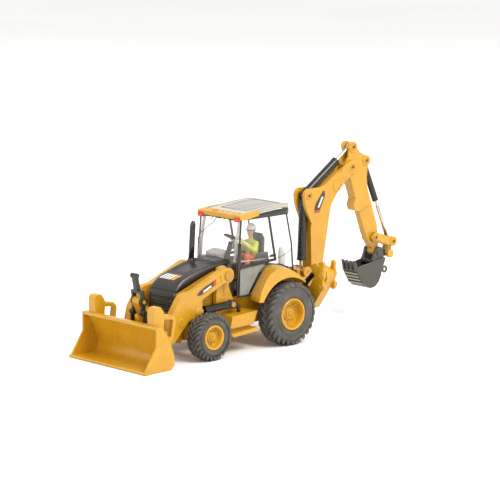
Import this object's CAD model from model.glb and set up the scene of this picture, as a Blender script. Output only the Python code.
"""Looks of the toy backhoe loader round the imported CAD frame. Lengths are millimetres until P() or MM."""

import math
import random

import bmesh
import bpy
from mathutils import Matrix, Vector


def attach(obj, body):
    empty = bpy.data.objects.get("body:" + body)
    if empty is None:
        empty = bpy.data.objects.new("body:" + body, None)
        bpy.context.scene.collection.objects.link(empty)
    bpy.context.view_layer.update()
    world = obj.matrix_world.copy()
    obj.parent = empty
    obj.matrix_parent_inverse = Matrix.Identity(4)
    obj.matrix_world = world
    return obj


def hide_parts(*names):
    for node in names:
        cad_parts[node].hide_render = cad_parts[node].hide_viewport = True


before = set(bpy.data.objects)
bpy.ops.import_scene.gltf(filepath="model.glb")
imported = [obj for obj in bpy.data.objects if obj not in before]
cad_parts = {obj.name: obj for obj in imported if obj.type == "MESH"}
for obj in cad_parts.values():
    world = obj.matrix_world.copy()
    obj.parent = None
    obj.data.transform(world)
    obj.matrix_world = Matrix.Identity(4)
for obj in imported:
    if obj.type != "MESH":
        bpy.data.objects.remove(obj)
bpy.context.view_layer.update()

MM = 0.001
AXLE_X = 0.25
WHEELBASE = 45.4
TYRE_FACE_Y = 23.9
REAR = {"axle": 0.0, "tyre": 13.7, "rim": 7.0, "width": 8.9,
        "lug": 0.85, "lugs": 26, "dish": 3.6, "hub": 2.4}
FRONT = {"axle": WHEELBASE, "tyre": 10.0, "rim": 5.4, "width": 7.3,
         "lug": 0.7, "lugs": 25, "dish": 2.6, "hub": 1.8}
SIDES = ((1, "left"), (-1, "right"))
random.seed(11)


def P(x, y, z):
    """A point in machine millimetres, x from the rear axle, as metres in the row frame."""
    return Vector(((x + AXLE_X) * MM, y * MM, z * MM))


# ---- materials ----


class Nodes:
    """Short calls for building one material."""

    def __init__(self, name):
        self.material = bpy.data.materials.new(name)
        self.material.use_nodes = True
        self.tree = self.material.node_tree
        self.shader = self.tree.nodes["Principled BSDF"]
        self.coords = self.add("ShaderNodeTexCoord").outputs["Object"]

    def add(self, kind, **values):
        node = self.tree.nodes.new(kind)
        for key, value in values.items():
            setattr(node, key, value)
        return node

    def link(self, a, b):
        self.tree.links.new(a, b)

    def noise(self, scale, detail=3.0, rough=0.55, stretch=None):
        node = self.add("ShaderNodeTexNoise")
        node.inputs["Scale"].default_value = scale
        node.inputs["Detail"].default_value = detail
        node.inputs["Roughness"].default_value = rough
        source = self.coords
        if stretch:
            mapping = self.add("ShaderNodeMapping")
            mapping.inputs["Scale"].default_value = stretch
            self.link(source, mapping.inputs["Vector"])
            source = mapping.outputs["Vector"]
        self.link(source, node.inputs["Vector"])
        return node.outputs["Fac"]

    def remap(self, value, low, high, start=0.0, end=1.0):
        node = self.add("ShaderNodeMapRange")
        node.inputs["From Min"].default_value = low
        node.inputs["From Max"].default_value = high
        node.inputs["To Min"].default_value = start
        node.inputs["To Max"].default_value = end
        self.link(value, node.inputs["Value"])
        return node.outputs["Result"]

    def math(self, operation, a, b=None):
        node = self.add("ShaderNodeMath", operation=operation)
        for socket, value in zip(node.inputs, (a, b)):
            if value is None:
                continue
            if isinstance(value, (int, float)):
                socket.default_value = value
            else:
                self.link(value, socket)
        return node.outputs["Value"]

    def mix(self, factor, a, b):
        node = self.add("ShaderNodeMix", data_type="RGBA")
        for socket, value in ((node.inputs[0], factor), (node.inputs[6], a), (node.inputs[7], b)):
            if isinstance(value, (int, float)):
                socket.default_value = value
            elif isinstance(value, tuple):
                socket.default_value = (*value, 1.0)
            else:
                self.link(value, socket)
        return node.outputs[2]

    def edges(self, radius):
        """1 along sharp edges and inside corners, 0 on flat faces, and the rounded normal."""
        bevel = self.add("ShaderNodeBevel", samples=4)
        bevel.inputs["Radius"].default_value = radius
        geometry = self.add("ShaderNodeNewGeometry")
        dot = self.add("ShaderNodeVectorMath", operation="DOT_PRODUCT")
        self.link(bevel.outputs["Normal"], dot.inputs[0])
        self.link(geometry.outputs["Normal"], dot.inputs[1])
        return self.remap(dot.outputs["Value"], 0.985, 0.80), bevel.outputs["Normal"]

    def bump(self, height, distance, strength=1.0, normal=None):
        node = self.add("ShaderNodeBump")
        node.inputs["Strength"].default_value = strength
        node.inputs["Distance"].default_value = distance
        self.link(height, node.inputs["Height"])
        if normal is not None:
            self.link(normal, node.inputs["Normal"])
        return node.outputs["Normal"]

    def set(self, **values):
        for key, value in values.items():
            socket = self.shader.inputs[key.replace("_", " ")]
            if isinstance(value, (int, float, tuple)):
                socket.default_value = value
            else:
                self.link(value, socket)
        return self.material


def enamel(name, base, edge, rough, peel=0.5, coat=0.25):
    """Sprayed enamel on a die-cast part: slight mottling, orange peel, thin paint along the edges."""
    n = Nodes(name)
    worn, rounded = n.edges(0.24 * MM)
    darker, lighter = tuple(c * 0.93 for c in base), tuple(c * 1.03 for c in base)
    mottled = n.mix(n.remap(n.noise(170, 4), 0.35, 0.65), darker, lighter)
    chipped = n.math("MULTIPLY", worn, n.remap(n.noise(700, 5, 0.7), 0.36, 0.62, 0.15, 0.8))
    colour = n.mix(chipped, mottled, edge)
    gloss = n.remap(n.noise(420, 4, 0.6), 0.3, 0.7, rough * 0.82, rough * 1.25)
    normal = n.bump(n.noise(1500, 2), 0.006 * MM, peel, rounded)
    return n.set(Base_Color=colour, Roughness=gloss, Normal=normal, Coat_Weight=coat, Coat_Roughness=0.18)


def rubber(name):
    """Dark tyre rubber with dust in its grain and paler worn edges."""
    n = Nodes(name)
    worn, rounded = n.edges(0.25 * MM)
    dust = n.remap(n.noise(260, 6, 0.65), 0.42, 0.68)
    base = n.mix(dust, (0.060, 0.054, 0.046), (0.100, 0.092, 0.079))
    base = n.mix(n.math("MULTIPLY", worn, 0.5), base, (0.15, 0.14, 0.122))
    gloss = n.remap(n.noise(600, 3), 0.3, 0.7, 0.55, 0.74)
    normal = n.bump(n.noise(2600, 3), 0.02 * MM, 0.6, rounded)
    return n.set(Base_Color=base, Roughness=gloss, Normal=normal, Specular_IOR_Level=0.42)


def bright_metal(name, base, rough, brushing):
    """Plated or plain metal with fine drawing marks."""
    n = Nodes(name)
    marks = n.noise(900, 4, 0.6, brushing)
    gloss = n.remap(marks, 0.3, 0.7, rough * 0.7, rough * 1.5)
    colour = n.mix(n.remap(n.noise(300, 3), 0.35, 0.65), tuple(c * 0.86 for c in base), base)
    return n.set(Base_Color=colour, Metallic=1.0, Roughness=gloss, Normal=n.bump(marks, 0.004 * MM, 0.4))


def plastic(name, base, rough, bump=0.012, alpha=1.0, second=None, sheen=0.0):
    """Moulded plastic with a faint grain; alpha below 1 makes it translucent."""
    n = Nodes(name)
    other = second or tuple(c * 0.85 for c in base)
    colour = n.mix(n.remap(n.noise(240, 4), 0.35, 0.65), other, base)
    gloss = n.remap(n.noise(500, 3), 0.3, 0.7, rough * 0.8, rough * 1.25)
    normal = n.bump(n.noise(1900, 3), bump * MM, 0.5)
    n.set(Base_Color=colour, Roughness=gloss, Normal=normal, Alpha=alpha, Sheen_Weight=sheen)
    return n.material


def clear_plastic(name, base, face_on, edge_on):
    """Thin clear moulding: nearly invisible face on, milky where it is seen along its surface."""
    n = Nodes(name)
    weight = n.add("ShaderNodeLayerWeight")
    weight.inputs["Blend"].default_value = 0.25
    haze = n.remap(n.noise(120, 3), 0.3, 0.7, 0.85, 1.15)
    alpha = n.math("MULTIPLY", n.remap(weight.outputs["Facing"], 0.15, 0.95, face_on, edge_on), haze)
    colour = n.mix(n.remap(n.noise(300, 2), 0.35, 0.65), tuple(c * 0.9 for c in base), base)
    normal = n.bump(n.noise(500, 2), 0.004 * MM, 0.4)
    return n.set(Base_Color=colour, Roughness=0.07, Normal=normal, Alpha=alpha)


TRAY_MIDDLE = (3.6, 0.4)
TRAY_HALF = (10.4, 8.3)


def roof_plastic(name):
    """Clear-backed roof moulding: pale at the rim, smoky over the raised middle."""
    n = Nodes(name)
    split = n.add("ShaderNodeSeparateXYZ")
    n.link(n.coords, split.inputs[0])
    across = n.math("ABSOLUTE", n.math("SUBTRACT", split.outputs["Y"], TRAY_MIDDLE[1] * MM))
    along = n.math("ABSOLUTE", n.math("SUBTRACT", split.outputs["X"], TRAY_MIDDLE[0] * MM))
    across_share = n.math("DIVIDE", across, TRAY_HALF[1] * MM)
    along_share = n.math("DIVIDE", along, TRAY_HALF[0] * MM)
    reach = n.math("MAXIMUM", across_share, along_share)
    middle = n.remap(reach, 1.0, 0.94)
    streak = n.remap(n.noise(90, 3, 0.5, (0.6, 2.0, 1.0)), 0.3, 0.7)
    pale = n.mix(streak, (0.42, 0.395, 0.335), (0.52, 0.49, 0.425))
    smoky = n.mix(streak, (0.24, 0.225, 0.19), (0.36, 0.34, 0.295))
    gloss = n.remap(n.noise(400, 3), 0.3, 0.7, 0.10, 0.22)
    normal = n.bump(n.noise(1100, 2), 0.01 * MM, 0.4)
    return n.set(Base_Color=n.mix(middle, pale, smoky), Roughness=gloss, Normal=normal, Alpha=0.93)


def lens(name):
    """White lamps in the middle and red marker lamps at the corners, told apart by y."""
    n = Nodes(name)
    split = n.add("ShaderNodeSeparateXYZ")
    n.link(n.coords, split.inputs[0])
    outer = n.remap(n.math("ABSOLUTE", split.outputs["Y"]), 8.4 * MM, 8.6 * MM)
    grain = n.remap(n.noise(900, 2), 0.3, 0.7)
    white = n.mix(grain, (0.78, 0.74, 0.58), (0.88, 0.86, 0.76))
    red = n.mix(grain, (0.55, 0.035, 0.02), (0.72, 0.06, 0.035))
    normal = n.bump(n.noise(1600, 2), 0.01 * MM, 0.5)
    return n.set(Base_Color=n.mix(outer, white, red), Roughness=0.16, Normal=normal)


YELLOW = enamel("yellow enamel", (0.535, 0.268, 0.009), (0.72, 0.44, 0.07), 0.28, 0.3, 0.15)
BLACK = enamel("dark enamel", (0.015, 0.012, 0.0095), (0.08, 0.068, 0.056), 0.24, 0.4, 0.2)
BLACK_SATIN = enamel("dark satin enamel", (0.010, 0.008, 0.0062), (0.05, 0.042, 0.034), 0.26, 0.3, 0.05)
HOOD_BLACK = enamel("hood enamel", (0.020, 0.016, 0.0125), (0.07, 0.06, 0.05), 0.36, 0.3, 0.15)
HOE_GREY = enamel("hoe bucket enamel", (0.052, 0.046, 0.036), (0.36, 0.34, 0.29), 0.34, 0.8, 0.05)
RUBBER = rubber("tyre rubber")
CHROME = bright_metal("plated rod", (0.60, 0.52, 0.40), 0.16, (1.0, 1.0, 6.0))
STEEL = bright_metal("pin steel", (0.42, 0.38, 0.32), 0.34, (4.0, 1.0, 4.0))
BRASS = enamel("pin ends", (0.42, 0.20, 0.012), (0.70, 0.45, 0.10), 0.34)
PIN_HOLE = plastic("pin hollows", (0.030, 0.018, 0.008), 0.5)
CLEAR = clear_plastic("clear moulding", (0.86, 0.86, 0.82), 0.035, 0.42)
SMOKE = plastic("smoked door moulding", (0.27, 0.285, 0.27), 0.16, 0.006, 0.86, (0.34, 0.355, 0.335))
PILLAR = plastic("clear pillar", (0.56, 0.54, 0.48), 0.2, 0.004, 0.62, (0.44, 0.42, 0.37))
DARK_GLASS = plastic("dark side glass", (0.035, 0.028, 0.022), 0.12, 0.004, 0.9)
ROOF = roof_plastic("roof moulding")
ROOF_RIM = plastic("roof rim", (0.30, 0.28, 0.235), 0.16, 0.006, 0.95)
CONSOLE = plastic("pale console", (0.50, 0.48, 0.43), 0.4, second=(0.40, 0.385, 0.345))
TRIM = plastic("dark cab trim", (0.040, 0.036, 0.031), 0.42)
CYLINDER = plastic("pale cab cylinders", (0.66, 0.66, 0.63), 0.3, 0.006)
SEAT = plastic("seat vinyl", (0.072, 0.068, 0.060), 0.55, 0.03, sheen=0.2)
WHEEL_GRIP = plastic("steering wheel grip", (0.04, 0.035, 0.03), 0.5)
LENS = lens("lamp lenses")
VEST = plastic("hi-vis vest", (0.56, 0.60, 0.03), 0.6, 0.03, second=(0.70, 0.68, 0.09), sheen=0.3)
SLEEVE = plastic("sleeve", (0.70, 0.66, 0.30), 0.65, 0.03, second=(0.58, 0.55, 0.22), sheen=0.3)
BAND = plastic("reflective band", (0.66, 0.65, 0.50), 0.35)
TROUSERS = plastic("orange trousers", (0.76, 0.17, 0.035), 0.65, 0.03, sheen=0.3)
SKIN = plastic("figure skin", (0.70, 0.40, 0.25), 0.5, second=(0.62, 0.34, 0.20))
HELMET = plastic("helmet", (0.90, 0.89, 0.83), 0.25, 0.006, second=(0.82, 0.80, 0.73))
EAR_GREY = plastic("ear cups", (0.10, 0.095, 0.085), 0.45)
BOOTS = plastic("boots", (0.05, 0.04, 0.03), 0.55)
DECAL_DARK = plastic("decal charcoal", (0.040, 0.036, 0.030), 0.34, 0.004)
DECAL_PALE = plastic("decal pale", (0.72, 0.70, 0.62), 0.38, 0.004)
DECAL_RED = plastic("decal red", (0.50, 0.045, 0.025), 0.36, 0.004)
RIB_GREY = enamel("worn bucket rib", (0.30, 0.285, 0.24), (0.55, 0.53, 0.46), 0.36, 0.6, 0.05)
DECAL_AMBER = plastic("decal amber", (0.75, 0.32, 0.02), 0.36, 0.004)

NODE_MATERIALS = {
    BLACK: "hood grille exhaust_stack cab_posts bellcrank bucket_link",
    BRASS: "chassis_pins swing_pins boom_pins",
    BLACK_SATIN: "lift_barrel_left lift_barrel_right boom_barrel stick_barrel curl_barrel stab_barrel_left "
    "stab_barrel_right",
    HOE_GREY: "hoe_bucket",
    RUBBER: "rear_tyre_left rear_tyre_right front_tyre_left front_tyre_right",
    CHROME: "lift_rod_left lift_rod_right boom_rod stick_rod curl_rod stab_rod_left stab_rod_right",
    STEEL: "rear_axle_shaft",
    CLEAR: "cab_glass",
    SMOKE: "door_panels",
    ROOF: "roof_panel",
    CONSOLE: "cab_interior",
    SEAT: "seat",
    WHEEL_GRIP: "steering_wheel",
    LENS: "roof_lamps",
    VEST: "operator",
}


# ---- mesh helpers ----


def paint(obj, material):
    """Gives a piece one material."""
    obj.data.materials.clear()
    obj.data.materials.append(material)


def as_object(mesh, material, smooth=True):
    """An object in the scene for a finished mesh, with its shading and material."""
    for polygon in mesh.polygons:
        polygon.use_smooth = smooth
    obj = bpy.data.objects.new(mesh.name, mesh)
    bpy.context.scene.collection.objects.link(obj)
    paint(obj, material)
    return obj


def new_mesh(name, points, faces, material, smooth=True):
    """A mesh object from points already in metres."""
    mesh = bpy.data.meshes.new(name)
    mesh.from_pydata([tuple(p) for p in points], [], faces)
    mesh.validate()
    bm = bmesh.new()
    bm.from_mesh(mesh)
    bmesh.ops.recalc_face_normals(bm, faces=bm.faces)
    bm.to_mesh(mesh)
    bm.free()
    return as_object(mesh, material, smooth)


def machine_mesh(name, bm, turn=None):
    """A mesh from a bmesh in machine millimetres, turned or squashed first by a matrix."""
    mesh = bpy.data.meshes.new(name)
    bm.to_mesh(mesh)
    bm.free()
    if turn is not None:
        mesh.transform(turn)
    mesh.transform(Matrix.Scale(MM, 4))
    mesh.transform(Matrix.Translation(Vector((AXLE_X * MM, 0, 0))))
    return mesh


def place(obj, body):
    """Fixes a piece to a moving body."""
    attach(obj, body)
    return obj


def round_edges(obj, width, segments=2, angle=35):
    """Rounds the sharp edges of a piece by a width in millimetres."""
    bevel = obj.modifiers.new("round", "BEVEL")
    bevel.width = width * MM
    bevel.segments = segments
    bevel.limit_method = "ANGLE"
    bevel.angle_limit = math.radians(angle)
    bevel.harden_normals = False


def add_ring(points, ring):
    """Adds one ring of points and returns their indices."""
    points.extend(ring)
    return list(range(len(points) - len(ring), len(points)))


def loft(rings):
    """Faces between neighbouring rings of indices, closed at both ends."""
    faces = [tuple(rings[0]), tuple(rings[-1])]
    for near, far in zip(rings, rings[1:]):
        for k in range(len(near)):
            nxt = (k + 1) % len(near)
            faces.append((near[k], near[nxt], far[nxt], far[k]))
    return faces


def lathe_faces(steps, count, closed=False):
    """Faces of a section of count points turned through steps places; a closed section is a ring itself."""
    faces = []
    for i in range(steps):
        here, there = i * count, (i + 1) % steps * count
        for k in range(count if closed else count - 1):
            nxt = (k + 1) % count
            faces.append((here + k, here + nxt, there + nxt, there + k))
    return faces


def circle(steps):
    """Cosine and sine of evenly spaced turns."""
    return [(math.cos(a), math.sin(a)) for a in (2 * math.pi * k / steps for k in range(steps))]


def height_at(profile, x):
    """Straight-line height over x along points sorted by x."""
    (x0, z0), (x1, z1) = next(pair for pair in zip(profile, profile[1:]) if x <= pair[1][0])
    return z0 + (z1 - z0) * (x - x0) / (x1 - x0)


def flat_path(y, *stations):
    """Points in metres of a path that keeps one y; each station is x and z."""
    return [P(x, y, z) for x, z in stations]


def sided(low, high, side):
    """A y range on the left side, or its mirror image."""
    return (low, high) if side > 0 else (-high, -low)


def tube(name, path, radius, material, sides=16, radii=None):
    """A round bar along points in metres, with one radius or one for each point."""
    path = [Vector(p) for p in path]
    points, rings = [], []
    reference = Vector((0, 1, 0))
    for i, p in enumerate(path):
        ahead = path[min(i + 1, len(path) - 1)] - path[max(i - 1, 0)]
        ahead.normalize()
        if abs(ahead.dot(reference)) > 0.9:
            reference = Vector((1, 0, 0))
        u = ahead.cross(reference).normalized()
        v = ahead.cross(u).normalized()
        r = (radii[i] if radii else radius) * MM
        rings.append(add_ring(points, [p + u * (r * c) + v * (r * s) for c, s in circle(sides)]))
    return new_mesh(name, points, loft(rings), material)


def plate(name, outline, y, thick, material, side=1):
    """A thin plate lying on a side face: an outline in x and z at a distance y from the centre plane."""
    points = []
    rings = [add_ring(points, [P(x, side * (y + lift), z) for x, z in outline]) for lift in (0.0, thick)]
    return new_mesh(name, points, loft(rings), material, smooth=False)


# ---- CAD nodes: rounded edges and materials ----


BARREL_CLEARANCE = 0.08


def finish_node(name, obj, width):
    """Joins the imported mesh's split corners, clears its flat triangles and rounds its edges."""
    weld = obj.modifiers.new("weld", "WELD")
    weld.merge_threshold = 0.002 * MM
    flat = obj.modifiers.new("flat", "DECIMATE")
    flat.decimate_type = "DISSOLVE"
    flat.angle_limit = math.radians(0.6)
    if name.startswith("stab_barrel"):
        clear = obj.modifiers.new("running clearance", "DISPLACE")
        clear.strength = -BARREL_CLEARANCE * MM
        clear.mid_level = 0.0
    round_edges(obj, width)
    for polygon in obj.data.polygons:
        polygon.use_smooth = True
    weighted = obj.modifiers.new("shade", "WEIGHTED_NORMAL")
    weighted.keep_sharp = False
    weighted.weight = 80


FINE = ("stab_leg", "stab_barrel", "roof_lamps", "steering_wheel", "grille", "lift_rod", "boom_rod",
        "stick_rod", "curl_rod", "stab_rod", "pins")
CASTING_ROUND = 0.22
FINE_ROUND = 0.10
WINDOW_ROUND = 0.08


def dress_nodes():
    """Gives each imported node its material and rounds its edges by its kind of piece."""
    chosen = {n: m for m, names in NODE_MATERIALS.items() for n in names.split()}
    for name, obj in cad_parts.items():
        paint(obj, chosen.get(name, YELLOW))
        width = FINE_ROUND if any(f in name for f in FINE) else CASTING_ROUND
        if name in ("cab_glass", "door_panels"):
            width = WINDOW_ROUND
        finish_node(name, obj, width)


dress_nodes()


# ---- wheels ----


def turned(name, profile, centre, side, material, steps=96):
    """A closed section turned about the wheel's axis: radius and depth from the tyre's outer face."""
    points = [P(centre[0] + r * c, side * (TYRE_FACE_Y - depth), centre[1] + r * s)
              for c, s in circle(steps) for r, depth in profile]
    return new_mesh(name, points, lathe_faces(steps, len(profile), closed=True), material)


def lug_stations(w, first):
    """Stations of one tread bar, middle to sidewall: depth, turn, outer and inner radius, half width."""
    R, width, lug = w["tyre"], w["width"], w["lug"]
    half = width / 2
    turn = 0.62 * width / R
    stations = [
        (half + 0.50, -0.08, 0.0, lug + 0.2, 0.78),
        (half - 0.30 * half, 0.20, 0.0, lug + 0.2, 0.70),
        (half - 0.62 * half, 0.56, 0.02, lug + 0.3, 0.72),
        (half - 0.84 * half, 0.80, 0.22, lug + 0.7, 0.84),
        (half - 0.94 * half, 0.90, 0.85, lug + 1.0, 0.86),
        (half - 0.975 * half, 0.94, 1.45, lug + 1.1, 0.74),
    ]
    return [(d if first else width - d, t * turn, R - top, R - base, half_w)
            for d, t, top, base, half_w in stations]


def tread(name, w, centre, side, material):
    """Two rows of slanting tread bars that meet at the middle of the tread."""
    points, faces = [], []
    pitch = 2 * math.pi / w["lugs"]
    bar_scale = 0.5 * pitch * w["tyre"] / 1.62
    for first in (True, False):
        for n in range(w["lugs"]):
            start = pitch * (n + (0.0 if first else 0.5))
            rings = []
            for depth, turn, outer, inner, half_w in lug_stations(w, first):
                ring = []
                for radius, grow in ((inner, -1.18), (outer, -0.86), (outer, 0.86), (inner, 1.18)):
                    a = start + turn + grow * half_w * bar_scale / w["tyre"]
                    ring.append(P(centre[0] + radius * math.cos(a), side * (TYRE_FACE_Y - depth),
                                  centre[1] + radius * math.sin(a)))
                rings.append(add_ring(points, ring))
            faces += loft(rings)
    return new_mesh(name, points, faces, material, smooth=False)


def tyre(w, which, side, hand):
    """The tyre's carcass, which stands in for the CAD tyre, and its tread bars."""
    centre = (w["axle"], w["tyre"])
    R, rim, width, lug = w["tyre"], w["rim"], w["width"], w["lug"]
    base = R - lug
    wall = [(rim - 0.55, 1.0), (rim - 0.02, 0.98), (rim + 0.02, 0.62), (rim + 0.45, 0.22), (rim + 1.1, 0.07),
            (rim + 1.35, 0.02), (rim + 1.9, 0.0), (rim + 2.0, 0.16), (R - 2.9, 0.18), (R - 2.1, 0.36),
            (R - 1.6, 0.75), (base - 0.12, 1.5), (base, width * 0.34)]
    profile = wall + [(r, width - d) for r, d in reversed(wall)]
    body = f"{which}_wheel_{hand}"
    carcass = place(turned(f"{which}_tyre_{hand}", profile, centre, side, RUBBER), body)
    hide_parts(f"{which}_tyre_{hand}")
    place(tread(f"{which}_tread_{hand}", w, centre, side, RUBBER), body)


def bolt_heads(name, w, ring_r, count, head_r, depth, side, material):
    """Hexagon bolt heads on a wheel disc, with a slightly smaller top."""
    points, faces = [], []
    for n in range(count):
        a = 2 * math.pi * n / count
        cx, cz = w["axle"] + ring_r * math.cos(a), w["tyre"] + ring_r * math.sin(a)
        corners = [a + math.pi * k / 3 for k in range(6)]
        rings = []
        for d, r in ((depth + 0.3, head_r), (depth - 0.28, head_r), (depth - 0.4, head_r * 0.8)):
            ring = [P(cx + r * math.cos(b), side * (TYRE_FACE_Y - d), cz + r * math.sin(b)) for b in corners]
            rings.append(add_ring(points, ring))
        faces += loft(rings)
    return new_mesh(name, points, faces, material, smooth=False)


def wheel_details(w, which, side, hand):
    """Nuts on the wheel disc and the hub, and the hub's cap."""
    body = f"{which}_wheel_{hand}"
    nut_circle = (w["rim"] - 1.9 + w["hub"] + 0.8) / 2
    hub_face = w["dish"] - 1.5
    wheel_nuts = bolt_heads(f"{which}_wheel_nuts_{hand}", w, nut_circle, 8, 0.42, w["dish"], side, YELLOW)
    place(wheel_nuts, body)
    count = 8 if which == "rear" else 6
    hub_nuts = bolt_heads(f"{which}_hub_nuts_{hand}", w, w["hub"] * 0.52, count, 0.3, hub_face, side, YELLOW)
    place(hub_nuts, body)
    cap = [(0.01, 0.35), (0.5, 0.3), (0.62, 0.0), (0.6, -0.22), (0.4, -0.34), (0.01, -0.36)]
    profile = [(r, hub_face + d) for r, d in cap]
    hub_cap = turned(f"{which}_hub_cap_{hand}", profile, (w["axle"], w["tyre"]), side, YELLOW, 24)
    place(hub_cap, body)


for wheel, which in ((REAR, "rear"), (FRONT, "front")):
    for side, hand in SIDES:
        tyre(wheel, which, side, hand)
        wheel_details(wheel, which, side, hand)


# ---- hood ----


def smooth_path(points, steps):
    """Catmull-Rom curve through points in two dimensions."""
    out = []
    n = len(points)
    for i in range(n - 1):
        p0, p1, p2, p3 = points[max(i - 1, 0)], points[i], points[i + 1], points[min(i + 2, n - 1)]
        for s in range(steps):
            t = s / steps
            out.append(tuple(0.5 * (2 * b + (c - a) * t + (2 * a - 5 * b + 4 * c - d) * t * t
                                    + (3 * b - a - 3 * c + d) * t ** 3) for a, b, c, d in zip(p0, p1, p2, p3)))
    out.append(points[-1])
    return out


def smoothstep(x, low, high):
    """0 below low, 1 above high and a smooth rise between."""
    t = min(max((x - low) / (high - low), 0.0), 1.0)
    return t * t * (3 - 2 * t)


HOOD_HALF_WIDTH = 8.4
HOOD_SHEET = 0.5
HOOD_PANEL_X = (30.6, 44.6)
HOOD_PANEL_Y = 5.2
HOOD_PANEL_DEPTH = 0.6
HOOD_PANEL_RIM = 0.3


def hood_relief(x, y):
    """Height added by the sunk panel on top of the hood and by the rim round it."""
    inside = min((HOOD_PANEL_Y - abs(y)) / 0.45, (x - HOOD_PANEL_X[0]) / 0.6, (HOOD_PANEL_X[1] - x) / 0.6)
    rim = smoothstep(inside, -1.6, -0.6) * (1 - smoothstep(inside, -0.6, 0.2))
    return HOOD_PANEL_RIM * rim - HOOD_PANEL_DEPTH * smoothstep(inside, 0.0, 1.0)


def hood():
    """A thin shell between the hood's top line and its lower edges; returns the top line."""
    top = smooth_path([(53.15, 28.2), (52.9, 29.7), (51.3, 31.7), (48.4, 33.6),
                       (43, 35.5), (37.5, 36.9), (31, 38.1), (23.2, 38.7)], 11)
    low = [(23.2, 36.06), (32.5, 34.78), (37.9, 32.98), (43.3, 31.0), (53.2, 27.5)]
    across = 56
    points, faces = [], []
    for x, z in top:
        edge_z = height_at(low, x)
        for k in range(across + 1):
            even = -1 + 2 * k / across
            share = math.copysign(abs(even) ** 0.72, even)
            rise = (1 - abs(share) ** 6.5) ** (1 / 2.6)
            y = HOOD_HALF_WIDTH * share
            points.append(P(x, y, edge_z + (z - edge_z) * rise + hood_relief(x, y)))
    row = across + 1
    for i in range(len(top) - 1):
        for k in range(across):
            a = i * row + k
            faces.append((a, a + 1, a + row + 1, a + row))
    obj = new_mesh("hood_shell", points, faces, HOOD_BLACK)
    solid = obj.modifiers.new("sheet", "SOLIDIFY")
    solid.thickness = HOOD_SHEET * MM
    solid.offset = -1
    place(obj, "machine")
    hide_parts("hood")
    return top


def hood_marks(top):
    """Plain pale and amber bars lying on the front slope of the hood."""
    profile = sorted(top)
    start, middle, end = 47.5, 49.0, 50.5
    slant = 0.64
    steps = 8
    hood_bars = [(y, y + 1.2, DECAL_PALE) for y in (-4.4, -2.6, -0.8, 1.0)] + [(2.8, 4.6, DECAL_AMBER)]
    for n, (y0, y1, material) in enumerate(hood_bars):
        points, rings = [], []
        for i in range(steps + 1):
            x = start + (end - start) * i / steps
            z = height_at(profile, x)
            lean = slant * (x - middle)
            section = ((y0, -0.05), (y1, -0.05), (y1, 0.07), (y0, 0.07))
            rings.append(add_ring(points, [P(x, y - lean, z + lift) for y, lift in section]))
        place(new_mesh(f"hood_bar_{n}", points, loft(rings), material, smooth=False), "machine")


def grille():
    """Uneven slats, a frame and a round port over the radiator."""

    def face_x(z):
        return 53.9 + 0.4 * (z - 18.8) / 4.2 if z < 23 else 54.3 - 0.7 * (z - 23) / 5.2

    for k in range(7):
        z = 19.5 + 1.05 * k
        path = []
        for m in range(15):
            y = -7.2 + 14.4 * m / 14
            beside_port = k > 4 and y > 4.4
            if not beside_port:
                path.append(P(face_x(z) + 0.10 - 0.0048 * y * y, y, z + random.uniform(-0.11, 0.11)))
        radii = [random.uniform(0.26, 0.36) for _ in path]
        place(tube(f"grille_slat_{k}", path, 0.3, BLACK, 10, radii), "machine")
    for s in (1, -1):
        path = [P(face_x(z) - 0.05, s * 7.7, z) for z in (18.9, 21.0, 23.0, 25.5, 27.8)]
        place(tube(f"grille_side_{s}", path, 0.42, BLACK, 12), "machine")
    port_y, port_z, port_r = 6.0, 25.6, 0.85
    turns = circle(24)
    ring = [P(face_x(port_z) + 0.12, port_y + port_r * c, port_z + port_r * s) for c, s in turns + turns[:1]]
    place(tube("grille_port", ring, 0.22, BLACK, 8), "machine")


hood_marks(hood())
grille()


# ---- exhaust stack ----


def exhaust():
    """A pipe that leans back and ends in a bent, closed tip, with a collar at its foot."""
    x, y, foot = 32.2, -6.0, 36.2
    stations = ((foot, 0), (45.0, 0), (50.5, 0), (52.0, 0.03), (53.0, 0.12), (53.8, 0.28), (54.3, 0.45))
    path = [P(x - 0.07 * (z - foot) - bend, y, z) for z, bend in stations]
    radii = [1.24, 1.24, 1.24, 1.22, 1.12, 0.88, 0.35]
    stack = tube("exhaust_pipe", path, 1.0, BLACK, 24, radii)
    place(stack, "machine")
    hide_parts("exhaust_stack")
    collar_path = [P(x, y, z) for z in (36.6, 37.4, 38.0, 38.4)]
    collar = tube("exhaust_collar", collar_path, 1.5, BLACK, 24, [1.75, 1.7, 1.45, 1.25])
    place(collar, "machine")


exhaust()


# ---- seat and driver ----


def cushion(name, centre, size, turn, material, crown=0.25):
    """A padded block: a rounded box whose faces swell, turned about y."""
    bm = bmesh.new()
    bmesh.ops.create_cube(bm, size=1.0)
    bmesh.ops.subdivide_edges(bm, edges=bm.edges[:], cuts=4, use_grid_fill=True)
    for v in bm.verts:
        a, b, c = (2 * q for q in v.co)
        swell = 1 + crown * (1 - a * a) * (1 - b * b) * abs(c) * 0.5
        v.co = Vector((v.co.x * size[0], v.co.y * size[1], v.co.z * size[2] * swell))
    turned_about_y = Matrix.Translation(Vector(centre)) @ Matrix.Rotation(math.radians(turn), 4, "Y")
    obj = as_object(machine_mesh(name, bm, turned_about_y), material)
    soft = obj.modifiers.new("soft", "SUBSURF")
    soft.levels = 2
    soft.render_levels = 2
    return place(obj, "machine")


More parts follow.
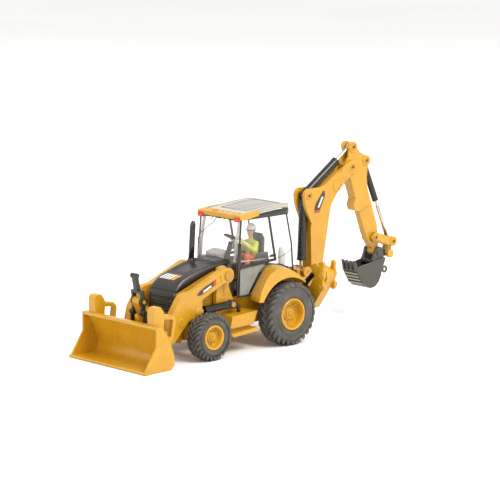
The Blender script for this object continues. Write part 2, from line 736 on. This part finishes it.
def seat():
    """Cushion, back with rolls, head rest, side bolsters, arm rests and pedestal."""
    base = cushion("seat_cushion", (3.2, 0, 31.3), (9.4, 7.0, 2.4), 0, SEAT)
    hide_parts("seat")
    cushion("seat_back", (-1.0, 0, 38.4), (1.9, 7.2, 13.4), -3, SEAT, 0.1)
    cushion("seat_head_rest", (-1.3, 0, 45.0), (1.7, 5.0, 2.4), -3, SEAT)
    for side in (1, -1):
        cushion(f"seat_bolster_{side}", (0.4, side * 4.3, 33.9), (7.4, 1.5, 5.6), 3, SEAT)
        cushion(f"arm_rest_{side}", (0.8, side * 4.9, 37.6), (6.2, 1.4, 1.5), 3, SEAT)
    for i, z in enumerate((34.4, 36.6, 38.8, 41.0)):
        cushion(f"seat_back_roll_{i}", (-0.05 * (z - 34.4), 0, z), (0.8, 5.6, 2.0), -3, SEAT, 0.5)
    path = [P(2.4, 0, z) for z in (26.0, 26.4, 26.8, 27.2, 29.6, 30.3)]
    pedestal = tube("seat_pedestal", path, 2.0, WHEEL_GRIP, 24, [2.6, 2.6, 2.4, 1.7, 1.7, 2.3])
    place(pedestal, "machine")


def limb(bm, p, q, r1, r2):
    """One tapering rounded limb added to a mesh, in machine millimetres."""
    p, q = Vector(p), Vector(q)
    axis = q - p
    turn = axis.to_track_quat("Z", "Y").to_matrix().to_4x4()
    if axis.length > 1e-6:
        bmesh.ops.create_cone(bm, cap_ends=True, segments=20, radius1=r1, radius2=r2, depth=axis.length,
                              matrix=Matrix.Translation((p + q) / 2) @ turn)
    for centre, r in ((p, r1), (q, r2)):
        bmesh.ops.create_uvsphere(bm, u_segments=20, v_segments=12, radius=r, matrix=Matrix.Translation(centre))


def figure_piece(name, limbs, material, voxel=0.16):
    """Rounded limbs run together into one smooth moulded piece."""
    bm = bmesh.new()
    for item in limbs:
        limb(bm, *item)
    obj = as_object(machine_mesh(name, bm), material, smooth=False)
    remesh = obj.modifiers.new("run together", "REMESH")
    remesh.mode = "VOXEL"
    remesh.voxel_size = voxel * MM
    remesh.use_smooth_shade = True
    smooth = obj.modifiers.new("soften", "SMOOTH")
    smooth.factor = 0.5
    smooth.iterations = 5
    return place(obj, "machine")


def driver():
    """A seated figure in a hi-vis jacket, with a plain face, helmet and ear cups."""
    trunk = [((2.1, 0, 37.9), (2.3, 0, 38.6), 2.3, 2.4), ((2.3, 0, 38.6), (2.6, 0, 41.6), 2.4, 2.5),
             ((2.3, -1.4, 38.2), (2.6, -2.1, 41.8), 1.7, 1.6), ((2.3, 1.4, 38.2), (2.6, 2.1, 41.8), 1.7, 1.6),
             ((2.8, -2.7, 42.2), (2.8, 2.7, 42.2), 1.3, 1.3), ((2.9, 0, 42.8), (3.0, 0, 44.2), 1.5, 1.05)]
    body = figure_piece("driver_jacket", trunk, VEST)
    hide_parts("operator")
    for s in (1, -1):
        shoulder, elbow = (2.8, s * 3.1, 42.2), (4.6, s * 3.9, 39.6)
        wrist, cuff = (7.6, s * 3.6, 41.6), (11.0, s * 3.0, 44.4)
        figure_piece(f"driver_sleeve_{s}", [(shoulder, elbow, 1.35, 1.2), (elbow, wrist, 1.2, 1.1)], VEST)
        figure_piece(f"driver_cuff_{s}", [(wrist, cuff, 1.1, 0.85)], SLEEVE)
        figure_piece(f"driver_hand_{s}", [((11.0, s * 3.0, 44.5), (12.2, s * 2.7, 45.6), 0.7, 0.8)], SKIN, 0.12)
    legs = [((2.2, 0, 34.8), (2.2, 0, 36.8), 2.3, 2.2)]
    for s in (1, -1):
        legs += [((2.4, s * 1.5, 35.2), (7.2, s * 2.4, 37.0), 1.9, 1.4),
                 ((7.2, s * 2.4, 37.0), (7.9, s * 2.6, 28.0), 1.4, 0.95)]
    figure_piece("driver_trousers", legs, TROUSERS)
    for s in (1, -1):
        figure_piece(f"driver_boot_{s}", [((7.8, s * 2.6, 27.1), (10.0, s * 2.8, 26.85), 0.95, 0.75)], BOOTS)
    head = [((2.9, 0, 43.8), (3.0, 0, 45.4), 1.0, 1.0), ((2.8, 0, 47.7), (2.85, 0, 48.0), 1.85, 1.8),
            ((3.3, 0, 46.3), (3.3, 0, 46.6), 1.25, 1.3), ((4.45, 0, 46.9), (4.4, 0, 47.3), 0.26, 0.2)]
    figure_piece("driver_head", head, SKIN, 0.10)
    for s in (1, -1):
        cup = [((2.5, s * 1.72, 47.0), (2.5, s * 1.95, 47.0), 0.62, 0.5)]
        figure_piece(f"driver_ear_cup_{s}", cup, EAR_GREY, 0.10)
    figure_piece("driver_helmet", [((2.65, 0, 48.8), (2.6, 0, 48.85), 2.12, 2.1)], HELMET, 0.12)
    helmet_ring("helmet_brim", 48.45, 2.5, 0.62, HELMET)
    helmet_ring("goggle_strap", 48.0, 2.02, 0.1, EAR_GREY, 0.32)
    for s in (1, -1):
        path = [P(0.4, s * 1.6, 38.4), P(4.5, s * 1.7, 38.4), P(4.9, s * 1.7, 40.6), P(4.3, s * 1.8, 43.0),
                P(2.8, s * 1.9, 43.6)]
        place(tube(f"vest_band_{s}", path, 0.3, BAND, 10), "machine")


HEAD_X = 2.65


def helmet_ring(name, z, radius, peak_reach, material, thick=0.14):
    """A flat ring round the head, drawn out toward the front as a peak."""
    section = [(0.01, thick), (0.6, thick), (0.96, thick * 0.8), (1.0, 0.0),
               (0.96, -thick * 0.8), (0.6, -thick), (0.01, -thick)]
    points = []
    steps = 40
    for c, s in circle(steps):
        peak = peak_reach * max(0.0, c) ** 3
        for share, h in section:
            reach = share * (radius + peak)
            points.append(P(HEAD_X + reach * c, reach * s, z + h - 0.2 * peak * share))
    place(new_mesh(name, points, lathe_faces(steps, len(section)), material), "machine")


seat()
driver()


# ---- inside the cab ----


def box(name, x, y, z, material, turn=0.0, body="machine", round_width=0.3):
    """A plain block with rounded edges; x, y and z are (low, high) in machine millimetres, turned about y."""
    points = [(x[i], y[j], z[k]) for i in (0, 1) for j in (0, 1) for k in (0, 1)]
    middle = Vector([(low + high) / 2 for low, high in (x, y, z)])
    rotate = Matrix.Rotation(math.radians(turn), 3, "Y")
    points = [rotate @ (Vector(p) - middle) + middle for p in points]
    faces = [(0, 1, 3, 2), (4, 6, 7, 5), (0, 4, 5, 1), (2, 3, 7, 6), (0, 2, 6, 4), (1, 5, 7, 3)]
    obj = new_mesh(name, [P(*p) for p in points], faces, material)
    round_edges(obj, round_width, 3, 30)
    return place(obj, body)


def cab_inside():
    """Floor, dash with its cover, steering column, rear shelf, side consoles and rear lever towers."""
    floor_plate = box("cab_floor", (-9.2, 22.6), (-11.8, 11.8), (25.2, 26.0), TRIM)
    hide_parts("cab_interior")
    dash = cushion("dash_cover", (20.0, -3.0, 37.9), (5.0, 8.8, 5.8), 14, CONSOLE, 0.5)
    box("dash_body", (17.4, 22.2), (-6.4, 1.2), (26.0, 36.6), CONSOLE)
    box("dash_face", (16.6, 17.6), (-6.0, 1.0), (26.2, 37.6), TRIM)
    path = [P(20.6, 2.4, 26.2), P(20.5, 2.4, 31.0), P(20.2, 2.3, 34.4), P(18.3, 2.2, 39.6), P(16.4, 2.0, 44.6)]
    column = tube("steering_column", path, 1.1, TRIM, 12, [1.5, 1.45, 1.35, 1.15, 0.95])
    place(column, "machine")
    for k in range(6):
        z = 34.6 + 1.7 * k
        x = 20.1 - 0.37 * (z - 34.6)
        rib = [P(x, 2.2, z), P(x - 0.2, 2.2, z + 0.5)]
        place(tube(f"column_rib_{k}", rib, 1.42 - 0.06 * k, WHEEL_GRIP, 14), "machine")
    box("rear_shelf", (-9.4, -5.6), (-10.8, 10.8), (26.0, 32.0), TRIM)
    for s in (1, -1):
        box(f"side_console_{s}", (-3.4, 5.4), sided(8.7, 11.1, s), (26.0, 33.4), CONSOLE)
        for n in range(2):
            drop = 1.2 * n
            x, y = -6.4 - 1.6 * n, s * (9.4 - 1.3 * n)
            path = [P(x, y, z) for z in (31.8, 32.2, 38.0 - drop, 39.6 - drop, 40.4 - drop, 40.8 - drop)]
            shape = [1.35, 1.4, 1.35, 1.25, 0.9, 0.3]
            place(tube(f"lever_tower_{s}_{n}", path, 1.3, CYLINDER, 20, shape), "machine")


CAB_SIDE = 13.1
POST_DEPTH = 0.62
ROOF_EDGE = [(16.6, 13.3), (10.3, 13.3), (-2.0, 13.0), (-6.8, 12.6), (-9.4, 10.6), (-11.4, 5.6), (-12.1, 0.0)]


def cab_frame():
    """Thin side posts, door bar, sill and wheel arch edge, door handles, cross rails and the roof's frame."""
    posts = [
        ("front_upper", [(21.3, 44.0), (20.3, 55.4)], 0.65),
        ("front_lower", [(22.3, 22.5), (21.2, 45.6)], 1.6),
        ("middle", [(0.3, 35.8), (4.3, 55.6)], 0.95),
        ("rear", [(-10.1, 29.4), (-9.2, 42.0), (-6.1, 55.8)], 0.6),
        ("door_bar", [(0.2, 36.4), (21.4, 35.2)], 1.2),
        ("sill", [(13.8, 22.6), (22.6, 22.6)], 0.6),
        ("arch", [(15.2, 22.6), (9.2, 31.2), (4.6, 34.9), (-2.0, 34.0), (-10.1, 31.0)], 0.5),
    ]
    inner = CAB_SIDE - POST_DEPTH
    for s in (1, -1):
        for name, path, width in posts:
            points, rings = [], []
            for i, (x, z) in enumerate(path):
                before, after = path[max(i - 1, 0)], path[min(i + 1, len(path) - 1)]
                ahead = Vector((after[0] - before[0], after[1] - before[1])).normalized() * (width / 2)
                section = ((inner, 1), (CAB_SIDE, 1), (CAB_SIDE, -1), (inner, -1))
                rings.append(add_ring(points, [P(x - u * ahead.y, s * y, z + u * ahead.x) for y, u in section]))
            obj = new_mesh(f"cab_{name}_{s}", points, loft(rings), BLACK)
            round_edges(obj, 0.14)
            place(obj, "machine")
            if name == "middle" and s == 1:
                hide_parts("cab_posts")
        handle_y = sided(CAB_SIDE, CAB_SIDE + 0.45, s)
        box(f"door_handle_{s}", (1.0, 4.4), handle_y, (37.7, 38.3), BLACK)
    box("front_cross_rail", (19.0, 20.0), (-11.9, 11.9), (54.7, 55.4), BLACK)
    box("rear_cross_rail", (-10.7, -9.7), (-12.5, 12.5), (29.2, 30.3), BLACK)
    roof_frame()


def roof_frame():
    """The dark frame under the roof, open at the front."""
    points, rings = [], []
    for x, y in smooth_path(ROOF_EDGE + [(x, -y) for x, y in reversed(ROOF_EDGE[:-1])], 4):
        low = 55.2 + 1.7 * smoothstep(-x, 7.6, 12.0)
        top = 57.1 + 0.8 * smoothstep(-x, -14.0, 3.0) - 0.5 * smoothstep(-x, 8.0, 12.0)
        section = ((1.0, low), (1.0, top), (0.9, top), (0.9, low))
        rings.append(add_ring(points, [P(x * inward, y * inward, z) for inward, z in section]))
    rim = new_mesh("roof_frame", points, loft(rings), BLACK)
    round_edges(rim, 0.2)
    place(rim, "machine")


def cab_trim():
    """Clear pillars and sills, the dark lower side glass, window seams, door latches and the wiper."""
    for s in (1, -1):
        pillar = [(23.4, 38.0), (22.6, 44.0), (21.4, 50.0), (20.4, 54.9),
                  (18.9, 54.9), (19.9, 50.0), (20.9, 44.0), (21.4, 38.0)]
        place(plate(f"front_pillar_{s}", pillar, 10.9, 0.5, PILLAR, s), "machine")
        sill = [(23.4, 38.1), (23.4, 37.3), (12.0, 36.9), (5.4, 36.9), (5.4, 37.2), (12.0, 37.3)]
        place(plate(f"inner_sill_{s}", sill, 11.2, 0.4, PILLAR, s), "machine")
        lower = [(27.0, 24.4), (22.9, 23.2), (22.9, 36.4), (25.6, 37.2), (26.9, 36.2)]
        place(plate(f"lower_front_glass_{s}", lower, 10.6, 0.4, DARK_GLASS, s), "machine")
        stations = ((0.1, 12.75, 36.7), (-2.2, 12.75, 37.0), (-4.4, 12.7, 37.6),
                    (-7.0, 12.6, 38.5), (-9.0, 12.5, 39.5))
        seam = [P(x, s * y, z) for x, y, z in stations]
        place(tube(f"window_seam_{s}", seam, 0.13, BLACK, 8), "machine")
        strap = [P(0.4, s * 13.2, 38.4), P(2.6, s * 13.5, 38.7), P(3.9, s * 13.4, 38.5)]
        place(tube(f"door_latch_{s}", strap, 0.3, BLACK, 10), "machine")
    wiper = [P(21.5, -1.8, 54.4), P(22.1, -4.4, 52.2), P(22.9, -10.0, 48.0)]
    place(tube("wiper", wiper, 0.16, BLACK, 8), "machine")


def roof_trim():
    """A bead round the roof moulding, the edge of its tray, and the visor's small bump and wings."""
    roof_top = [(-12.6, 58.35), (-8.0, 59.5), (-2.0, 59.6), (10.0, 58.6), (22.0, 57.4)]
    left_edge = [(16.4, 11.6), (9.9, 11.6), (-6.6, 11.3), (-8.9, 9.8), (-10.9, 5.2)]
    edge = [(x, -y) for x, y in left_edge] + [(-11.4, 0)] + left_edge[::-1]
    bead = [P(x, y, height_at(roof_top, x) - 0.05) for x, y in smooth_path(edge, 4)]
    place(tube("roof_bead", bead, 0.34, ROOF_RIM, 10), "machine")
    tray = smooth_path([(13.4, -7.6), (-4.6, -7.9), (-6.6, -5.0), (-7.0, 0),
                        (-6.6, 5.8), (-4.6, 8.7), (13.4, 8.4)], 4)
    tray_edge = [P(x, y, height_at(roof_top, x) + 0.02) for x, y in tray + tray[:1]]
    place(tube("roof_tray_edge", tray_edge, 0.2, ROOF_RIM, 8), "machine")
    box("visor_bump", (18.4, 20.2), (-5.6, -3.8), (57.4, 58.5), YELLOW, 4)
    for s in (1, -1):
        box(f"visor_wing_{s}", (11.0, 17.0), sided(12.2, 13.2, s), (57.0, 57.9), YELLOW, 4)


cab_inside()
cab_frame()
cab_trim()
roof_trim()


# ---- pins, ram ends and hoses ----


def disc(name, x, z, y, section, side, body, material, steps=32):
    """A turned cap on a side face: section points are radius and height above the face at y."""
    points = [P(x + r * c, side * (y + h), z + r * s) for c, s in circle(steps) for r, h in section]
    return place(new_mesh(name, points, lathe_faces(steps, len(section)), material), body)


def pin_head(name, x, z, y, ring, body):
    """A raised collar round a hollow pin, on both sides."""
    collar_shape = ((-0.34, -0.2), (-0.3, 0.16), (-0.12, 0.3), (0.06, 0.24), (0.14, -0.2))
    collar = [(ring + dr, h) for dr, h in collar_shape]
    pin = [(0.58, 0.16), (0.72, 0.18), (0.8, 0.1), (0.82, -0.2)]
    hollow = [(0.005, 0.12), (0.56, 0.12), (0.6, 0.0), (0.6, -0.2)]
    for side in (1, -1):
        disc(f"{name}_collar_{side}", x, z, y, collar, side, body, YELLOW)
        disc(f"{name}_pin_{side}", x, z, y, pin, side, body, BRASS)
        disc(f"{name}_hollow_{side}", x, z, y, hollow, side, body, PIN_HOLE)


def pins():
    """Hollow pins with collars at the backhoe's pivots."""
    pin_head("ear", -29.0, 59.9, 3.62, 1.75, "hoe_boom")
    pin_head("stick_pivot", -55.9, 70.2, 3.72, 1.7, "hoe_boom")
    pin_head("stick_lug", -57.3, 79.0, 2.9, 1.5, "stick")
    pin_head("curl_base", -65.8, 72.2, 2.8, 1.45, "stick")
    pin_head("idler_end", -82.9, 33.4, 3.62, 1.3, "idler")
    pin_head("idler_pivot", -71.3, 36.5, 3.72, 1.2, "idler")


def loader_details():
    """Caps on the loader's pivots, hose elbows, the bucket's loop handles and the lever's rings."""
    arm_cap = [(0.005, 0.62), (1.7, 0.6), (2.0, 0.48), (2.08, 0.2), (2.08, -0.2)]
    eye_cap = [(0.005, 0.75), (1.6, 0.73), (1.95, 0.6), (2.05, 0.3), (2.05, -0.4)]
    base_cap = [(0.005, 0.45), (0.6, 0.45), (0.7, 0.2), (1.2, 0.2),
                (1.3, 0.5), (1.75, 0.42), (1.9, 0.1), (1.9, -0.2)]
    ring = [(0.9, 0.02), (0.95, 0.22), (1.1, 0.3), (1.3, 0.22), (1.35, -0.1)]
    for side in (1, -1):
        disc(f"arm_cap_{side}", 29.6, 33.2, 14.95, arm_cap, side, "lift_arms", YELLOW)
        disc(f"lift_eye_cap_{side}", 46.2, 19.6, 14.95, eye_cap, side, "lift_arms", YELLOW)
        disc(f"lift_base_cap_{side}", 26.5, 20.3, 14.4, base_cap, side, "machine", BLACK)
        down = flat_path(side * 14.2, (24.3, 19.9), (23.7, 19.5), (23.4, 18.9), (23.3, 18.0), (23.3, 16.7))
        elbow = [P(25.6, side * 14.0, 20.1)] + down
        elbow_tube = tube(f"hose_elbow_{side}", elbow, 0.85, BLACK, 16, [0.8, 0.85, 0.85, 0.9, 0.8, 0.8])
        place(elbow_tube, "machine")
        grip = flat_path(side * 19.2, (70.4, 22.1), (67.6, 21.5), (65.0, 20.9), (63.9, 19.9), (63.9, 18.2),
                         (64.6, 14.6), (65.6, 12.2), (68.6, 11.0))
        place(tube(f"bucket_handle_{side}", grip, 0.95, YELLOW, 14), "front_bucket")
        disc(f"lever_ring_{side}", 66.3, 25.0, 3.3, ring, side, "lever", BLACK_SATIN)


pins()
loader_details()


# ---- backhoe and stabilizer details ----


def boom_face(x):
    """Distance of the boom's side from the centre plane; it swells toward the nose."""
    return 2.92 + 0.7 * smoothstep(-x, 44.6, 49.5)


def boom_details():
    """The swell of the boom's side toward the stick pivot and the rounded pocket pressed into it."""
    swell = [(-44.6, 57.6, 66.2), (-46.4, 59.8, 67.3), (-48.2, 62.2, 68.4), (-49.4, 63.7, 69.5)]
    pocket = smooth_path([(-44.3, 62.9), (-45.4, 64.5), (-48.0, 65.5), (-51.0, 65.9), (-51.3, 64.6),
                          (-49.8, 62.2), (-47.6, 60.6), (-45.2, 60.6), (-44.3, 62.9)], 5)
    for side in (1, -1):
        points, rings = [], []
        for x, z0, z1 in swell:
            section = ((2.3, z0), (boom_face(x), z0 + 0.2), (boom_face(x), z1 - 0.2), (2.3, z1))
            rings.append(add_ring(points, [P(x, side * y, z) for y, z in section]))
        block = new_mesh(f"boom_swell_{side}", points, loft(rings), YELLOW, smooth=False)
        place(block, "hoe_boom")
        rim = [P(x, side * (boom_face(x) + 0.02), z) for x, z in pocket]
        place(tube(f"boom_pocket_{side}", rim, 0.2, YELLOW, 10), "hoe_boom")


def hoe_bucket_details():
    """Pale worn ribs under the hoe bucket's floor, its pivot caps and the lifting eye behind its heel."""
    for k in range(4):
        x, z = -58.56 - 0.95 * k, 21.19 - 1.55 * k
        box(f"hoe_rib_{k}", (x - 0.1, x + 0.1), (-4.25, 4.25), (z - 0.42, z + 0.42), RIB_GREY, 31.5,
            "rear_bucket", 0.06)
    turns = circle(20)
    eye = [P(-80.7 + 1.25 * c, 0, 20.3 + 1.25 * s) for c, s in turns + turns[:1]]
    place(tube("lifting_eye_ring", eye, 0.5, HOE_GREY, 12), "rear_bucket")
    cap = [(0.005, 0.3), (0.7, 0.3), (0.8, 0.12), (1.5, 0.12), (1.62, 0.3), (1.95, 0.24), (2.05, -0.2)]
    for side in (1, -1):
        disc(f"hoe_pivot_cap_{side}", -73.2, 29.9, 4.15, cap, side, "stick_tip", HOE_GREY)
    stem = [P(-76.0, 0, 22.0), P(-77.8, 0, 21.3), P(-79.6, 0, 20.8)]
    place(tube("lifting_eye_stem", stem, 0.8, HOE_GREY, 12, [1.1, 0.8, 0.6]), "rear_bucket")


def curl_rod_skin():
    """The plated rod of the bucket ram, at the thickness it has outside its barrel."""
    eye, base = Vector((-82.9, 0, 33.4)), Vector((-65.8, 0, 72.2))
    along = (base - eye).normalized()
    path = [P(*(eye + along * d)) for d in (2.0, 10.0, 18.4, 19.0)]
    place(tube("curl_rod_skin", path, 0.82, CHROME, 20, [0.82, 0.82, 0.82, 0.5]), "curl_piston")


def pad_boss(name, plate_x, outward, side, y, z):
    """A round boss on the outer face of a pad plate."""
    section = [(0.005, 0.35), (0.55, 0.35), (0.65, 0.1), (1.0, 0.1), (1.1, 0.42), (1.4, 0.36), (1.5, -0.1)]
    steps = 28
    points = [P(plate_x + outward * (0.6 + h), side * (y + r * c), z + r * s)
              for c, s in circle(steps) for r, h in section]
    return new_mesh(name, points, lathe_faces(steps, len(section)), YELLOW)


PAD_PLATES = ((-16.05, 1, "front"), (-22.55, -1, "rear"))
PAD_HALF_THICKNESS = 0.62
PAD_PIN = (25.2, 29.0)
PAD_FOOT = (25.3, 24.3)


def stabilizer_pads():
    """Two lobed plates on each leg, with their bosses, joined by the pad pin."""
    lobes = smooth_path([(23.7, 23.8), (24.0, 22.5), (25.3, 22.0), (26.5, 22.7), (26.85, 24.2), (26.3, 25.7),
                         (26.0, 26.6), (26.5, 27.6), (26.85, 29.2), (26.75, 30.8), (26.3, 31.9), (26.7, 33.0),
                         (26.4, 34.4), (25.3, 35.0), (24.2, 34.4), (23.9, 33.0), (23.4, 31.2), (23.1, 29.4),
                         (23.3, 27.8), (24.0, 26.6), (23.9, 25.2), (23.7, 23.8)], 4)[:-1]
    for side, hand in SIDES:
        body = f"pad_{hand}"
        for plate_x, outward, end in PAD_PLATES:
            points = []
            rings = [add_ring(points, [P(plate_x + dx, side * y, z) for y, z in lobes])
                     for dx in (-PAD_HALF_THICKNESS, PAD_HALF_THICKNESS)]
            obj = new_mesh(f"pad_plate_{hand}_{end}", points, loft(rings), YELLOW)
            round_edges(obj, 0.4, 3)
            place(obj, body)
            for n, (y, z) in enumerate((PAD_PIN, PAD_FOOT)):
                boss = pad_boss(f"pad_boss_{hand}_{end}_{n}", plate_x, outward, side, y, z)
                place(boss, body)
        pin = [P(x, side * PAD_PIN[0], PAD_PIN[1]) for x in (-23.0, -15.6)]
        place(tube(f"pad_pin_{hand}", pin, 0.68, YELLOW, 20), body)
        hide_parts(f"stab_pad_{hand}")


boom_details()
hoe_bucket_details()
curl_rod_skin()
stabilizer_pads()


# ---- decals: plain generic shapes ----


ARM_DECAL_Y = 14.58
BOOM_DECAL_Y = 2.92
DECAL_STEP = 0.06


def decals():
    """Dark panels with a pale bar and a red tip on the loader arms and the boom; no lettering."""
    arm_top, boom_top = ARM_DECAL_Y + DECAL_STEP, BOOM_DECAL_Y + DECAL_STEP
    for side, hand in SIDES:
        arm = [(46.9, 26.75), (46.2, 27.9), (44.8, 28.75), (42.0, 30.05), (38.4, 31.45),
               (36.4, 32.2), (36.6, 30.2), (39.6, 28.9), (43.4, 27.3), (45.2, 26.7)]
        place(plate(f"arm_panel_{hand}", arm, ARM_DECAL_Y, 0.12, DECAL_DARK, side), "lift_arms")
        tip = [(37.9, 31.66), (36.4, 32.22), (36.58, 30.22), (37.9, 29.66)]
        place(plate(f"arm_panel_tip_{hand}", tip, arm_top, 0.12, DECAL_RED, side), "lift_arms")
        bar = [(39.2, 30.3), (43.6, 28.4), (43.6, 27.5), (39.2, 29.4)]
        place(plate(f"arm_line_{hand}", bar, arm_top, 0.12, DECAL_PALE, side), "lift_arms")
        panel = [(-38.95, 61.0), (-38.2, 61.2), (-31.6, 53.6), (-32.0, 51.9), (-35.6, 51.9), (-39.3, 59.0)]
        place(plate(f"boom_panel_{hand}", panel, BOOM_DECAL_Y, 0.1, DECAL_DARK, side), "hoe_boom")
        foot = [(-32.0, 53.0), (-32.0, 51.88), (-35.65, 51.88), (-36.2, 53.0)]
        boom_foot = plate(f"boom_panel_foot_{hand}", foot, boom_top, 0.1, DECAL_RED, side)
        place(boom_foot, "hoe_boom")
        bar = [(-34.6, 54.0), (-35.7, 54.0), (-38.2, 58.6), (-37.1, 58.6)]
        place(plate(f"boom_line_{hand}", bar, boom_top, 0.1, DECAL_PALE, side), "hoe_boom")


decals()


# ---- floor, light and camera ----

CAMERA_AZIMUTH = 137.194
CAMERA_ELEVATION = 9.799
CAMERA_DISTANCE = 1000.77
CAMERA_ROLL = -0.118
FOCAL_MM = 166.27
LOOK_AT = P(3.387, 0, 39.146)


def away(azimuth, elevation):
    """Direction from the machine toward a camera or lamp, from angles in degrees."""
    a, e = math.radians(azimuth), math.radians(elevation)
    return Vector((math.sin(a) * math.cos(e), -math.cos(a) * math.cos(e), math.sin(e)))


def floor():
    """A large plain pale floor."""
    n = Nodes("studio_floor")
    pale = n.mix(n.remap(n.noise(3, 2), 0.4, 0.6), (0.90, 0.90, 0.89), (0.92, 0.92, 0.91))
    n.set(Base_Color=pale, Roughness=0.9, Specular_IOR_Level=0.1)
    size = 6.0
    points = [(-size, -size, 0), (size, -size, 0), (size, size, 0), (-size, size, 0)]
    obj = new_mesh("studio_floor", points, [(0, 1, 2, 3)], n.material, smooth=False)


def area_light(name, azimuth, elevation, distance, size, power, colour=(1, 1, 1)):
    """A round soft lamp that faces the machine."""
    back = away(azimuth, elevation)
    data = bpy.data.lights.new(name, "AREA")
    data.shape = "DISK"
    data.size = size
    data.energy = power
    data.color = colour
    obj = bpy.data.objects.new(name, data)
    bpy.context.scene.collection.objects.link(obj)
    obj.location = LOOK_AT + back * distance
    obj.rotation_euler = back.to_track_quat("Z", "Y").to_euler()


def studio():
    """White surroundings and three soft lamps."""
    world = bpy.data.worlds.new("studio")
    bpy.context.scene.world = world
    world.use_nodes = True
    background = world.node_tree.nodes["Background"]
    background.inputs["Color"].default_value = (1.0, 1.0, 1.0, 1.0)
    background.inputs["Strength"].default_value = 1.0
    area_light("key", 185, 48, 1.1, 0.55, 10, (1.0, 0.985, 0.95))
    area_light("fill", 95, 22, 1.2, 0.7, 3.4)
    area_light("rear", 300, 45, 1.2, 0.7, 3)
    bpy.context.scene.view_settings.view_transform = "Standard"


def camera():
    """The camera at the photo's angle, with its slight roll."""
    back = away(CAMERA_AZIMUTH, CAMERA_ELEVATION)
    a, roll = math.radians(CAMERA_AZIMUTH), math.radians(CAMERA_ROLL)
    right = Vector((math.cos(a), math.sin(a), 0))
    up = back.cross(right)
    turned_right = right * math.cos(roll) + up * math.sin(roll)
    turned_up = -right * math.sin(roll) + up * math.cos(roll)
    data = bpy.data.cameras.new("camera")
    data.lens = FOCAL_MM
    data.sensor_width = 36
    data.clip_end = 20
    obj = bpy.data.objects.new("camera", data)
    bpy.context.scene.collection.objects.link(obj)
    rotation = Matrix((turned_right, turned_up, back)).transposed().to_4x4()
    obj.matrix_world = Matrix.Translation(LOOK_AT + back * CAMERA_DISTANCE * MM) @ rotation
    bpy.context.scene.camera = obj


floor()
studio()
camera()
